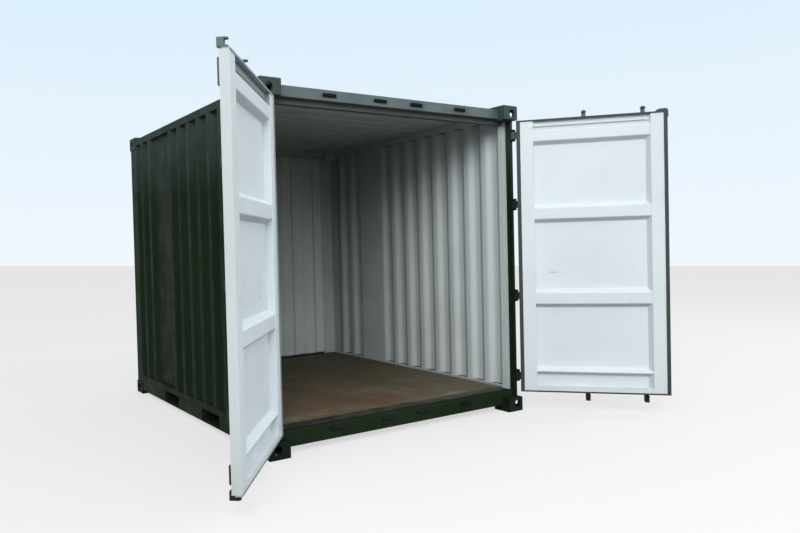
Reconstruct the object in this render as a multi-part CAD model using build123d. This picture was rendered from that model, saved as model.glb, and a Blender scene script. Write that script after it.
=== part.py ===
from build123d import *
import os

os.makedirs("parts", exist_ok=True)

# Overall size over the corner castings
LENGTH = 2991.0
WIDTH = 2438.0
HEIGHT = 2591.0
HALF_L = LENGTH / 2
HALF_W = WIDTH / 2

# Corner castings
CAST_L = 178.0
CAST_W = 162.0
CAST_H = 118.0
CAST_PLATE = 28.0
CAST_END_WALL = 20.0
CAST_SIDE_WALL = 18.0
CAST_BACK_WALL = 14.0
CAST_ROUND = 16.0
CAST_EDGE = 5.0
CAST_SLOT_L = 124.0
CAST_SLOT_W = 63.5
CAST_SPACING_X = LENGTH - 204
CAST_SPACING_Y = WIDTH - 179
CAST_SIDE_HOLE_L = 79.0
CAST_SIDE_HOLE_H = 51.0
CAST_END_HOLE_W = 57.0
CAST_END_HOLE_H = 67.0
CAST_END_HOLE_OUT = 12.0

# Side walls
SHEET = 2.0
WALL_OUT = 7.0
WALL_IN = 43.0
WALL_PITCH = (LENGTH - 2 * CAST_L) * 0.08425
WALL_SLOPE = 0.203 * WALL_PITCH
FIRST_SLOPE = CAST_L + 0.658 * WALL_PITCH
FLAT_END = LENGTH - CAST_L - 1.595 * WALL_PITCH

# Rear wall
REAR_OUT = 8.0
REAR_DEPTH = 45.0
REAR_PITCH = WIDTH * 0.05866
REAR_SLOPE = 0.28 * REAR_PITCH
REAR_STEPS = [(6.524 - i) * REAR_PITCH for i in range(7)]

# Rails, header and sill
RAIL_SKIN = 6.0
TOP_RAIL = 60.0
TOP_RAIL_WALL = 4.0
ROOF_Z = HEIGHT - 29
TOP_RAIL_Z = ROOF_Z - TOP_RAIL
BOTTOM_RAIL_Z0 = 39.0
BOTTOM_RAIL_Z1 = 195.0
BOTTOM_RAIL_FLANGE = 40.0
BOTTOM_RAIL_WALL = 5.0
BOTTOM_RAIL_BEND = 8.0
BEAM_RECESS = 76.0
SEAL_RECESS = 126.0
BEAM_WALL = 5.0
HEADER_Z0 = ROOF_Z - 75
HEADER_SEAL_Z0 = HEADER_Z0 - 42
SILL_Z0 = 51.0
SILL_Z1 = 168.0
REAR_FOOT = 90.0
REAR_LEDGE = 55.0

# Roof ribs
RIB_COUNT = 12
RIB_PITCH = LENGTH * 0.07088
RIB_WIDTH = 0.7075 * RIB_PITCH
RIB_LENGTH = WIDTH - 238
RIB_HEIGHT = 18.0

# Floor
FLOOR_TOP = 172.0
FLOOR_THICK = 24.0
FLOOR_BOTTOM = FLOOR_TOP - FLOOR_THICK
FLOOR_SIDE_GAP = 47.0
THRESHOLD_END = 240.0
MEMBER_WIDTH = 45.0
MEMBER_WALL = 4.0
MEMBER_SHARES = (0.1, 0.174, 0.247, 0.435, 0.493, 0.55, 0.736, 0.816, 0.896)
MEMBER_PLACES = [share * LENGTH for share in MEMBER_SHARES]

# Fork pockets
POCKET_W = 360.0
POCKET_WALL = 4.0
POCKET_Z0 = 44.0
POCKET_Z1 = 144.0
POCKET_OFFSET = 0.1505 * LENGTH

# Door posts
POST_SIDE_GAP = 10.0
POST_BAR = 12.0
POST_FRONT = 58.0
POST_HOOK = 36.0
POST_INNER = 60.0
POST_WALL = 6.0

# Hinges, measured from the casting faces
PIVOT_IN = 30.0
PIVOT_SIDE = 28.0
PIVOT_X = HALF_L - PIVOT_IN
PIVOT_Y = HALF_W - PIVOT_SIDE
PIN_R = 11.0
PIN_CLEAR = 1.0
KNUCKLE_R = 20.0
KNUCKLE_H = 60.0
LUG_THICK = 12.0
LUG_GAP = 3.0
BLADE_LENGTH = 150.0
BLADE_THICK = 10.0

# Door leaves: r runs along the leaf from the pivot, t from the pivot towards the inside
LEFT_OPEN = 128.6
RIGHT_OPEN = 132.9
LEAF_OUT = 30.0
LEAF_IN = 84.0
LEAF_R0 = 34.0
LEAF_R1 = HALF_W - 40
LEAF_Z0 = 185.0
LEAF_Z1 = HEADER_Z0 - 40
HINGE_PLACES = (LEAF_Z0 + 115, LEAF_Z0 + 800, LEAF_Z1 - 687, LEAF_Z1 - 102)
STILE_HINGE = LEAF_R0 + 124
STILE_LOCK = LEAF_R1 - 117
LEAF_RAIL_LOW = LEAF_Z0 + 38
LEAF_RAIL_HIGH = LEAF_Z1 - 45
TOP_RAIL_DEPTH = 24.0
STILE_WALL = 3.5
PANEL_IN = 80.0
RIDGES = ((LEAF_Z0 + 161, LEAF_Z0 + 173, 24), (LEAF_Z0 + 733, LEAF_Z0 + 824, 29),
          (LEAF_Z1 - 820, LEAF_Z1 - 729, 29), (LEAF_Z1 - 170, LEAF_Z1 - 85, 30))
SEAL_EDGE = 8.0
SEAL_T0 = 48.0
SEAL_LIP = 4.0
SEAL_LIP_HINGE = LEAF_R0 + 21
SEAL_LIP_LOCK = LEAF_R1 - 20
SEAL_LIP_Z = 12.0
SEAL_CURL = 14.0

# Locking rods
ROD_R = 17.0
ROD_T = 5.0
ROD_PLACES = (LEAF_R1 - 614, LEAF_R1 - 161)
HUB_HEIGHTS = (LEAF_Z0 + 720, LEAF_Z0 + 940)
KEEPER_Z = (SILL_Z0 + 79, HEADER_Z0 + 39)
KEEPER_W = 110.0
KEEPER_H = 24.0
KEEPER_OUT = 18.0
CAM_W = 36.0
CAM_BACK = 26.0
CAM_BLOCK = 13.0
CAM_REACH = 35.0
CAM_TIP = 8.0
CAM_GAP = 5.0
CAM_PRONG = 8.0
STUB_TOP = KEEPER_Z[1] - 6
STUB_ROUND = 10.0
BRACKET_CLEAR = 0.8
BRACKET_WALL = 8.0
BRACKET_BASE = 48.0
BRACKET_FOOT = 6.0
BRACKET_HEIGHT = 60.0
BRACKET_PLACES = (LEAF_Z0 + 375, LEAF_Z0 + 1065, LEAF_Z1 - 547)
BRACKET_ENDS = ((LEAF_Z0 + 5, LEAF_Z0 + 105), (LEAF_Z1 - 145, LEAF_Z1 - 2))

# Handles
HANDLE_PIVOT = 40.0
HANDLE_LENGTH = 375.0
HANDLE_H = 30.0
HANDLE_T0 = -1.0
HANDLE_T1 = 11.0
HUB_H = 70.0
EAR_THICK = 7.0
EAR_GAP = 1.5
EAR_R = 18.0
EAR_ROOM = 40.0
HANDLE_PIN_R = 6.0
CATCH_REACH = 290.0


def box(x0, x1, y0, y1, z0, z1):
    centre = Pos((x0 + x1) / 2, (y0 + y1) / 2, (z0 + z1) / 2)
    return centre * Box(abs(x1 - x0), abs(y1 - y0), abs(z1 - z0))


def rod(x, y, z0, z1, radius):
    return Pos(x, y, (z0 + z1) / 2) * Cylinder(radius, z1 - z0)


def across(sketch, y0, y1):
    # a section drawn in X and Z, swept along Y
    return Pos(0, y1, 0) * extrude(Plane.XZ * sketch, amount=y1 - y0)


def along(sketch, x0, x1):
    # a section drawn in Y and Z, swept along X
    return Pos(x0, 0, 0) * extrude(Plane.YZ * sketch, amount=x1 - x0)


def upright(sketch, z0, z1):
    return Pos(0, 0, z0) * extrude(sketch, amount=z1 - z0)


def outline(points):
    return make_face(Polyline(*points, close=True))


def bent(points, thickness, bend):
    return trace(FilletPolyline(*points, radius=bend), line_width=thickness)


def folded(points, thickness):
    # a pressed sheet with plain bends
    return trace(Polyline(*points), line_width=thickness)


def flip_y(shape):
    return mirror(shape, about=Plane.XZ)


def flip_x(shape):
    return mirror(shape, about=Plane.YZ)


def save(name, shapes):
    if not isinstance(shapes, (list, tuple)):
        shapes = [shapes]
    solids = []
    for shape in shapes:
        solids.extend(shape.solids())
    body = solids[0] if len(solids) == 1 else Compound(children=solids)
    body.label = name
    export_step(body, "parts/" + name + ".step")
    print(name, len(solids))


def casting_plan():
    # seen from above, only the outer corner is round
    plan = Pos(HALF_L - CAST_L / 2, HALF_W - CAST_W / 2) * Rectangle(CAST_L, CAST_W)
    corner = plan.vertices().sort_by(Axis.X)[-2:].sort_by(Axis.Y)[-1]
    return fillet(corner, CAST_ROUND)


def casting():
    # bottom casting of the right door corner
    outer = box(HALF_L - CAST_L, HALF_L, HALF_W - CAST_W, HALF_W, 0, CAST_H)
    outer = chamfer(outer.faces().sort_by(Axis.X)[-1].edges().filter_by(Axis.Y), CAST_EDGE)
    outer = chamfer(outer.faces().sort_by(Axis.Y)[-1].edges().filter_by(Axis.X), CAST_EDGE)
    outer &= upright(casting_plan(), 0, CAST_H)
    hollow = box(HALF_L - CAST_L + CAST_BACK_WALL, HALF_L - CAST_END_WALL,
                 HALF_W - CAST_W + CAST_BACK_WALL, HALF_W - CAST_SIDE_WALL,
                 CAST_PLATE, CAST_H - CAST_BACK_WALL)
    slot = Pos(CAST_SPACING_X / 2, CAST_SPACING_Y / 2, 0) * SlotOverall(CAST_SLOT_L, CAST_SLOT_W)
    mid_z = (CAST_PLATE + CAST_H - CAST_BACK_WALL) / 2
    side = Plane((HALF_L - CAST_L / 2, HALF_W, mid_z), x_dir=(1, 0, 0), z_dir=(0, 1, 0))
    end_y = HALF_W - CAST_W / 2 + CAST_END_HOLE_OUT
    end = Plane((HALF_L, end_y, mid_z), x_dir=(0, 0, 1), z_dir=(1, 0, 0))
    side_hole = SlotOverall(CAST_SIDE_HOLE_L, CAST_SIDE_HOLE_H)
    end_hole = SlotOverall(CAST_END_HOLE_H, CAST_END_HOLE_W)
    body = outer - hollow
    body -= extrude(slot, amount=CAST_PLATE + 5, both=True)
    body -= extrude(side * side_hole, amount=CAST_SIDE_WALL + 5, both=True)
    body -= extrude(end * end_hole, amount=CAST_END_WALL + 5, both=True)
    return body


def four_corners(piece):
    right = [piece, flip_x(piece)]
    return right + [flip_y(p) for p in right]


def door_post():
    # right post: outer bar with its hook, and the hollow inner channel
    y_out = HALF_W - POST_SIDE_GAP
    x_front = HALF_L - POST_FRONT
    x_seal = HALF_L - SEAL_RECESS
    x_back = HALF_L - CAST_L
    bar = outline([(x_front, y_out), (x_back, y_out), (x_back, y_out - POST_BAR),
                   (x_front - POST_BAR, y_out - POST_BAR), (x_front - POST_BAR, HALF_W - POST_HOOK),
                   (x_front, HALF_W - POST_HOOK)])
    y_in = HALF_W - POST_INNER
    channel = outline([(x_seal, y_out - POST_BAR), (x_back, y_out - POST_BAR), (x_back, y_in), (x_seal, y_in)])
    hollow = outline([(x_seal - POST_WALL, y_out - POST_BAR), (x_back + POST_WALL, y_out - POST_BAR),
                      (x_back + POST_WALL, y_in + POST_WALL), (x_seal - POST_WALL, y_in + POST_WALL)])
    return upright(bar + channel - hollow, CAST_H, HEIGHT - CAST_H)


def rear_post():
    # right rear post, one pressed section from the side face round to the rear face
    half = RAIL_SKIN / 2
    line = [(-HALF_L + CAST_L, HALF_W - REAR_OUT - half), (-HALF_L + REAR_OUT + half, HALF_W - REAR_OUT - half),
            (-HALF_L + REAR_OUT + half, HALF_W - CAST_W)]
    return upright(bent(line, RAIL_SKIN, 12), CAST_H, HEIGHT - CAST_H)


def header():
    half = HALF_W - CAST_W
    beam = box(HALF_L - CAST_L, HALF_L - BEAM_RECESS, -half, half, HEADER_Z0, ROOF_Z + SHEET)
    inside = box(HALF_L - CAST_L + BEAM_WALL, HALF_L - BEAM_RECESS - BEAM_WALL, -half, half,
                 HEADER_Z0 + BEAM_WALL, ROOF_Z + SHEET - BEAM_WALL)
    return beam - inside


def header_land():
    # the closed doors' top seals press on its front face
    x0 = HALF_L - CAST_L
    x1 = HALF_L - SEAL_RECESS
    wide = HALF_W - POST_INNER
    half = HALF_W - CAST_W
    land = box(x0, x1, -wide, wide, HEADER_SEAL_Z0, HEIGHT - CAST_H)
    land += box(x0, x1, -half, half, HEADER_SEAL_Z0, HEADER_Z0)
    return land - box(x0 + BEAM_WALL, x1 - BEAM_WALL, -half, half, HEADER_SEAL_Z0 + BEAM_WALL, HEADER_Z0)


def sill():
    x0 = HALF_L - CAST_L
    x2 = HALF_L - BEAM_RECESS
    half_wall = BEAM_WALL / 2
    low, high = SILL_Z0 + half_wall, SILL_Z1 - half_wall
    line = [(x0, low), (x2 - half_wall, low), (x2 - half_wall, high), (x0, high)]
    section = bent(line, BEAM_WALL, 9)
    half = HALF_W - CAST_W
    beam = across(section, -half, half)
    wide = HALF_W - POST_SIDE_GAP - POST_BAR
    ends = across(section, -wide, wide) & box(x0, HALF_L, -wide, wide, CAST_H, SILL_Z1)
    post = HALF_W - POST_INNER
    ends -= box(x0, HALF_L - SEAL_RECESS, post, HALF_W, CAST_H, SILL_Z1)
    ends -= box(x0, HALF_L - SEAL_RECESS, -HALF_W, -post, CAST_H, SILL_Z1)
    return beam + ends


def keepers():
    pieces = []
    x0 = HALF_L - BEAM_RECESS
    for z in KEEPER_Z:
        for r in ROD_PLACES:
            y = PIVOT_Y - r
            lug = Pos(x0 + KEEPER_OUT / 2, y, z) * Box(KEEPER_OUT, KEEPER_W, KEEPER_H)
            lug = chamfer(lug.edges().group_by(Axis.X)[-1], 5)
            pieces += [lug, flip_y(lug)]
    return pieces


def top_rail():
    y1 = HALF_W - RAIL_SKIN
    y0 = y1 - TOP_RAIL
    x1 = HALF_L - CAST_L
    w = TOP_RAIL_WALL
    tube = Pos((y0 + y1) / 2, TOP_RAIL_Z + TOP_RAIL / 2) * RectangleRounded(TOP_RAIL, TOP_RAIL, 6)
    bore = Pos((y0 + y1) / 2, TOP_RAIL_Z + TOP_RAIL / 2) * Rectangle(TOP_RAIL - 2 * w, TOP_RAIL - 2 * w)
    return along(tube - bore, -x1, x1)


def pocket_envelope(x):
    half = POCKET_W / 2 + POCKET_WALL
    return box(x - half, x + half, -HALF_W, HALF_W, POCKET_Z0 - POCKET_WALL, POCKET_Z1 + POCKET_WALL)


def bottom_rail():
    y = HALF_W - RAIL_SKIN - BOTTOM_RAIL_WALL / 2
    z0 = BOTTOM_RAIL_Z0 + BOTTOM_RAIL_WALL / 2
    z1 = BOTTOM_RAIL_Z1 - BOTTOM_RAIL_WALL / 2
    line = [(y - BOTTOM_RAIL_FLANGE, z0), (y, z0), (y, z1), (y - BOTTOM_RAIL_FLANGE, z1)]
    x1 = HALF_L - CAST_L
    rail = along(folded(line, BOTTOM_RAIL_WALL), -x1, x1)
    for x in (-POCKET_OFFSET, POCKET_OFFSET):
        rail -= pocket_envelope(x)
    return rail


def wall_line():
    # centre line of the side sheet, d counted from the door end casting faces
    out = HALF_W - WALL_OUT - SHEET / 2
    inner = HALF_W - WALL_IN + SHEET / 2
    half = WALL_SLOPE / 2
    step = WALL_PITCH / 2
    points = [(CAST_L, inner)]
    centre = FIRST_SLOPE - step
    level = inner
    places = []
    while centre < FLAT_END - 5 * step:
        places.append(centre)
        centre += step
    places += [FLAT_END - step, FLAT_END, FLAT_END + step, FLAT_END + 2 * step, FLAT_END + 3 * step - 12]
    for place in places:
        other = out if level == inner else inner
        points += [(place - half, level), (place + half, other)]
        level = other
    points.append((LENGTH - CAST_L, level))
    return [(HALF_L - d, y) for d, y in points]


def side_wall():
    return upright(folded(wall_line(), SHEET), BOTTOM_RAIL_Z1, TOP_RAIL_Z)


def rear_wall():
    out = -HALF_L + REAR_OUT + SHEET / 2
    inner = -HALF_L + REAR_OUT + REAR_DEPTH - SHEET / 2
    half = REAR_SLOPE / 2
    points = [(out, HALF_W - CAST_W)]
    level = out
    for place in REAR_STEPS:
        other = inner if level == out else out
        points += [(level, place + half), (other, place - half)]
        level = other
    points += [(x, -y) for x, y in reversed(points)]
    return upright(folded(points, SHEET), BOTTOM_RAIL_Z1, TOP_RAIL_Z)


def rear_top_rail():
    half = HALF_W - CAST_W
    x0 = -HALF_L + REAR_OUT
    beam = box(x0, x0 + TOP_RAIL, -half, half, TOP_RAIL_Z, ROOF_Z + SHEET)
    w = TOP_RAIL_WALL
    beam -= box(x0 + w, x0 + TOP_RAIL - w, -half, half, TOP_RAIL_Z + w, ROOF_Z + SHEET - w)
    plate = box(x0 + TOP_RAIL, -HALF_L + CAST_L, -half, half, ROOF_Z - 2, ROOF_Z + SHEET)
    return beam + plate


def rear_bottom_rail():
    half = HALF_W - CAST_W
    x = -HALF_L + REAR_OUT + BEAM_WALL / 2
    line = [(x + REAR_FOOT, SILL_Z0 + BEAM_WALL / 2), (x, SILL_Z0 + BEAM_WALL / 2),
            (x, BOTTOM_RAIL_Z1 - BEAM_WALL / 2), (x + REAR_LEDGE, BOTTOM_RAIL_Z1 - BEAM_WALL / 2)]
    return across(bent(line, BEAM_WALL, 9), -half, half)


def roof():
    x1 = HALF_L - CAST_L
    y1 = HALF_W - RAIL_SKIN
    sheet = box(-x1, x1, -y1, y1, ROOF_Z, ROOF_Z + SHEET)
    slope_gap = SHEET * 1.4142
    for i in range(RIB_COUNT):
        x = (i - (RIB_COUNT - 1) / 2) * RIB_PITCH
        outer = extrude(Rectangle(RIB_WIDTH, RIB_LENGTH), amount=RIB_HEIGHT, taper=45)
        base = Rectangle(RIB_WIDTH + 2 * SHEET - 2 * slope_gap, RIB_LENGTH + 2 * SHEET - 2 * slope_gap)
        inner = extrude(base, amount=RIB_HEIGHT, taper=45)
        sheet += Pos(x, 0, ROOF_Z + SHEET) * outer
        sheet -= Pos(x, 0, ROOF_Z) * inner
    return sheet


def floor_boards():
    y1 = HALF_W - FLOOR_SIDE_GAP
    x0 = -HALF_L + REAR_OUT + REAR_DEPTH + 4
    return box(x0, HALF_L - THRESHOLD_END, -y1, y1, FLOOR_BOTTOM, FLOOR_TOP)


def threshold():
    y1 = HALF_W - POST_INNER
    x1 = HALF_L - SEAL_RECESS
    return box(HALF_L - THRESHOLD_END, x1, -y1, y1, SILL_Z1, FLOOR_TOP)


def cross_members():
    # their ends stand on the rails' lower flanges, clear of the rails' bends
    pieces = []
    y1 = HALF_W - RAIL_SKIN - BOTTOM_RAIL_WALL - BOTTOM_RAIL_BEND
    z0 = BOTTOM_RAIL_Z0 + BOTTOM_RAIL_WALL
    w = MEMBER_WALL
    for place in MEMBER_PLACES:
        x = HALF_L - place
        line = [(x - MEMBER_WIDTH, z0 + w / 2), (x, z0 + w / 2), (x, FLOOR_BOTTOM - w / 2),
                (x - MEMBER_WIDTH, FLOOR_BOTTOM - w / 2)]
        pieces.append(across(folded(line, w), -y1, y1))
    return pieces


def fork_pockets():
    pieces = []
    y1 = HALF_W - RAIL_SKIN
    for x in (POCKET_OFFSET, -POCKET_OFFSET):
        tube = pocket_envelope(x) & box(-HALF_L, HALF_L, -y1, y1, 0, HEIGHT)
        tube -= box(x - POCKET_W / 2, x + POCKET_W / 2, -HALF_W, HALF_W, POCKET_Z0, POCKET_Z1)
        pieces.append(tube)
    return pieces


def hinge_lugs():
    # right side: a pair of lugs and the pin at each hinge
    pieces = []
    x0 = HALF_L - POST_FRONT
    x1 = PIVOT_X + KNUCKLE_R
    y0 = PIVOT_Y - KNUCKLE_R
    y1 = HALF_W - POST_SIDE_GAP - 2
    cut = 0.6 * KNUCKLE_R
    lug = outline([(x0, y1), (x0, HALF_W - POST_HOOK), (PIVOT_X - cut, y0), (x1 - cut, y0), (x1, y0 + cut),
                   (x1, y1 - cut), (x1 - cut, y1)])
    for z in HINGE_PLACES:
        reach = KNUCKLE_H / 2 + LUG_GAP + LUG_THICK
        piece = rod(PIVOT_X, PIVOT_Y, z - reach, z + reach, PIN_R)
        for low in (z - KNUCKLE_H / 2 - LUG_GAP - LUG_THICK, z + KNUCKLE_H / 2 + LUG_GAP):
            piece += upright(lug, low, low + LUG_THICK)
        pieces.append(piece)
    return pieces


def place_left(shape, angle):
    return Pos(PIVOT_X, -PIVOT_Y, 0) * Rot(0, 0, 90 - angle) * shape


def place_right(shape, angle):
    return flip_y(place_left(shape, angle))


def leaf_frame():
    w = STILE_WALL
    body = box(LEAF_R0, STILE_HINGE, LEAF_OUT, LEAF_IN, LEAF_Z0, LEAF_Z1)
    body -= box(LEAF_R0 + w, STILE_HINGE - w, LEAF_OUT + w, LEAF_IN - w, LEAF_Z0, LEAF_Z1)
    lock = box(STILE_LOCK, LEAF_R1, LEAF_OUT, LEAF_IN, LEAF_Z0, LEAF_Z1)
    lock -= box(STILE_LOCK + w, LEAF_R1 - w, LEAF_OUT + w, LEAF_IN - w, LEAF_Z0, LEAF_Z1)
    low = box(STILE_HINGE, STILE_LOCK, LEAF_OUT, LEAF_IN, LEAF_Z0, LEAF_RAIL_LOW)
    low -= box(STILE_HINGE, STILE_LOCK, LEAF_OUT + w, LEAF_IN - w, LEAF_Z0, LEAF_RAIL_LOW - w)
    t1 = LEAF_OUT + TOP_RAIL_DEPTH
    high = box(STILE_HINGE, STILE_LOCK, LEAF_OUT, t1, LEAF_RAIL_HIGH, LEAF_Z1)
    high -= box(STILE_HINGE, STILE_LOCK, LEAF_OUT + w, t1 - w, LEAF_RAIL_HIGH + w, LEAF_Z1)
    return body + lock + low + high


def leaf_panel():
    out = LEAF_OUT + SHEET / 2
    inner = PANEL_IN - SHEET / 2
    line = [(out, LEAF_RAIL_LOW)]
    for low, high, slope in RIDGES:
        line += [(out, low - slope), (inner, low), (inner, high), (out, high + slope)]
    line.append((out, LEAF_RAIL_HIGH))
    return along(folded(line, SHEET), STILE_HINGE, STILE_LOCK)


def leaf_gasket(lock_side):
    # the right door alone carries the seal between the doors, folded over its top corner
    r0 = LEAF_R0 - SEAL_EDGE - 2
    r1 = LEAF_R1 + SEAL_EDGE if lock_side else LEAF_R1
    lip_r1 = SEAL_LIP_LOCK if lock_side else LEAF_R1
    z0 = LEAF_Z0 - SEAL_EDGE
    z1 = LEAF_Z1 + SEAL_EDGE
    ring = box(r0, r1, SEAL_T0, LEAF_IN, z0, z1)
    ring -= box(LEAF_R0, LEAF_R1, SEAL_T0, LEAF_IN, LEAF_Z0, LEAF_Z1)
    lip = box(r0, r1, LEAF_IN, LEAF_IN + SEAL_LIP, z0, z1)
    lip -= box(SEAL_LIP_HINGE, lip_r1, LEAF_IN, LEAF_IN + SEAL_LIP, z0 + SEAL_LIP_Z, z1 - SEAL_LIP_Z)
    seal = ring + lip
    if lock_side:
        seal += seal_curl(LEAF_R1, z1)
    return seal


def seal_curl(r, z):
    t0 = SEAL_T0 + 8
    t1 = LEAF_IN + SEAL_LIP
    over = outline([(r - 85, z - 4), (r - 70, z + 12), (r - 45, z + 20), (r, z + 20), (r + SEAL_CURL, z + 8),
                    (r + SEAL_CURL, z - 48), (r + 4, z - 60), (r + 4, z - 4)])
    return Pos(0, t1, 0) * extrude(Plane.XZ * over, amount=t1 - t0)


def hinge_blades():
    pieces = []
    t0 = LEAF_OUT - BLADE_THICK
    strap = outline([(0, KNUCKLE_R), (28, LEAF_OUT), (BLADE_LENGTH, LEAF_OUT), (BLADE_LENGTH, t0),
                     (28, t0), (18, 8)])
    for z in HINGE_PLACES:
        half = KNUCKLE_H / 2
        blade = rod(0, 0, z - half, z + half, KNUCKLE_R) + upright(strap, z - half, z + half)
        blade -= rod(0, 0, z - half, z + half, PIN_R + PIN_CLEAR)
        pieces.append(blade)
    return pieces


def bracket(r, z0, z1):
    # a hat section over the rod, its feet on the leaf
    inner = ROD_R + BRACKET_CLEAR
    outer = inner + BRACKET_WALL
    half = BRACKET_BASE
    foot = LEAF_OUT - BRACKET_FOOT
    cut = 0.55 * outer
    hat = outline([(-half, LEAF_OUT), (-half, foot), (-outer, foot), (-outer, ROD_T - cut),
                   (-cut, ROD_T - outer), (cut, ROD_T - outer), (outer, ROD_T - cut),
                   (outer, foot), (half, foot), (half, LEAF_OUT)])
    bore = outline([(-inner, LEAF_OUT), (-inner, ROD_T - 0.5 * inner), (-0.5 * inner, ROD_T - inner),
                    (0.5 * inner, ROD_T - inner), (inner, ROD_T - 0.5 * inner), (inner, LEAF_OUT)])
    return Pos(r, 0, 0) * upright(hat - bore, z0, z1)


def rod_brackets():
    spans = [(z - BRACKET_HEIGHT / 2, z + BRACKET_HEIGHT / 2) for z in BRACKET_PLACES]
    spans += list(BRACKET_ENDS)
    return [bracket(r, z0, z1) for r in ROD_PLACES for z0, z1 in spans]


def cam_plan():
    side = CAM_W / 2
    return outline([(-side, -CAM_BACK), (side, -CAM_BACK), (side, CAM_REACH - CAM_TIP),
                    (side - CAM_TIP, CAM_REACH), (CAM_TIP - side, CAM_REACH), (-side, CAM_REACH - CAM_TIP)])


def cam(z):
    # forked end of a rod: a block with a prong over and a prong under the keeper
    slot = KEEPER_H / 2 + CAM_GAP
    half = slot + CAM_PRONG
    body = upright(cam_plan(), z - half, z + half)
    return body - box(-CAM_W, CAM_W, CAM_BLOCK, CAM_REACH, z - slot, z + slot)


def worn_cam(z):
    # the right door's upper cams have lost the block and the upper prong
    slot = KEEPER_H / 2 + CAM_GAP
    return upright(cam_plan(), z - slot - CAM_PRONG, z - slot)


def locking_rod(r, hub_z, toward, worn):
    # toward is the way along the leaf in which its handle lies
    top = STUB_TOP if worn else KEEPER_Z[1]
    body = rod(r, ROD_T, KEEPER_Z[0], top, ROD_R)
    if worn:
        body = chamfer(body.edges().sort_by(Axis.Z)[-1], STUB_ROUND)
    body += Pos(r, ROD_T, 0) * cam(KEEPER_Z[0])
    body += Pos(r, ROD_T, 0) * (worn_cam(KEEPER_Z[1]) if worn else cam(KEEPER_Z[1]))
    ear_r = r + toward * HANDLE_PIVOT
    mid = (HANDLE_T0 + HANDLE_T1) / 2
    half = (HANDLE_T1 - HANDLE_T0) / 2 + EAR_GAP
    for t0, t1 in ((mid - half - EAR_THICK, mid - half), (mid + half, mid + half + EAR_THICK)):
        ear = box(r, ear_r + toward * EAR_R, t0, t1, hub_z - EAR_R, hub_z + EAR_R)
        corners = ear.edges().filter_by(Axis.Y).sort_by(lambda e: toward * e.center().X)[-2:]
        body += chamfer(corners, 0.6 * EAR_R)
    room = box(r + toward * (ROD_R + 1), ear_r + toward * EAR_ROOM, mid - half, mid + half,
               hub_z - HUB_H, hub_z + HUB_H)
    body -= room
    plane = Plane((ear_r, 0, hub_z), x_dir=(1, 0, 0), z_dir=(0, -1, 0))
    pin = extrude(plane * Circle(HANDLE_PIN_R), amount=half + 1, both=True)
    return body + Pos(0, mid, 0) * pin


def handle(r, hub_z, toward):
    ear_r = r + toward * HANDLE_PIVOT
    end_r = ear_r + toward * HANDLE_LENGTH
    bar = box(ear_r, end_r, HANDLE_T0, HANDLE_T1, hub_z - HANDLE_H / 2, hub_z + HANDLE_H / 2)
    mid = (HANDLE_T0 + HANDLE_T1) / 2
    half = (HANDLE_T1 - HANDLE_T0) / 2
    plane = Plane((ear_r, mid, hub_z), x_dir=(1, 0, 0), z_dir=(0, -1, 0))
    low, high = hub_z - HANDLE_H / 2, hub_z + HANDLE_H / 2
    root = box(ear_r - toward * HANDLE_H / 2, ear_r, HANDLE_T0, HANDLE_T1, low, high)
    corners = root.edges().filter_by(Axis.Y).sort_by(lambda e: toward * e.center().X)[:2]
    bar += chamfer(corners, 0.3 * HANDLE_H)
    bar -= extrude(plane * Circle(HANDLE_PIN_R + 1), amount=half, both=True)
    return bar


def handle_catches():
    pieces = []
    for r, z, toward in ((ROD_PLACES[0], HUB_HEIGHTS[0], 1), (ROD_PLACES[1], HUB_HEIGHTS[1], -1)):
        c = r + toward * CATCH_REACH
        low = z - HANDLE_H / 2 - 5
        piece = box(c - 30, c + 30, LEAF_OUT - 6, LEAF_OUT, low - 40, z + 45)
        piece += box(c - 30, c + 30, HANDLE_T0 - 2, LEAF_OUT, low - 8, low)
        pieces.append(piece)
    return pieces


bottom = casting()
top = mirror(bottom, about=Plane.XY.offset(HEIGHT / 2))
save("bottom_castings", four_corners(bottom))
save("top_castings", four_corners(top))

post = door_post()
save("right_door_post", post)
save("left_door_post", flip_y(post))
post = rear_post()
save("right_rear_post", post)
save("left_rear_post", flip_y(post))
save("door_header", header())
save("header_land", header_land())
save("door_sill", sill())
save("lock_keepers", keepers())
save("rear_top_rail", rear_top_rail())
save("rear_bottom_rail", rear_bottom_rail())
rail = top_rail()
save("right_top_rail", rail)
save("left_top_rail", flip_y(rail))
rail = bottom_rail()
save("right_bottom_rail", rail)
save("left_bottom_rail", flip_y(rail))
wall = side_wall()
save("right_wall", wall)
save("left_wall", flip_y(wall))
save("rear_wall", rear_wall())
save("roof", roof())
save("floor_boards", floor_boards())
save("threshold", threshold())
save("cross_members", cross_members())
save("fork_pockets", fork_pockets())
lugs = hinge_lugs()
save("hinge_lugs", lugs + [flip_y(p) for p in lugs])

doors = (("left_", place_left, LEFT_OPEN), ("right_", place_right, RIGHT_OPEN))
for side, place, angle in doors:
    save(side + "door_frame", place(leaf_frame(), angle))
    save(side + "door_panel", place(leaf_panel(), angle))
    save(side + "door_gasket", place(leaf_gasket(side == "right_"), angle))
    save(side + "hinge_blades", [place(p, angle) for p in hinge_blades()])
    save(side + "rod_brackets", [place(p, angle) for p in rod_brackets()])
    save(side + "handle_catches", [place(p, angle) for p in handle_catches()])
    for name, i, toward in (("outer_", 0, 1), ("inner_", 1, -1)):
        worn = side == "right_"
        save(side + name + "rod", place(locking_rod(ROD_PLACES[i], HUB_HEIGHTS[i], toward, worn), angle))
        save(side + name + "handle", place(handle(ROD_PLACES[i], HUB_HEIGHTS[i], toward), angle))
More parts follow.
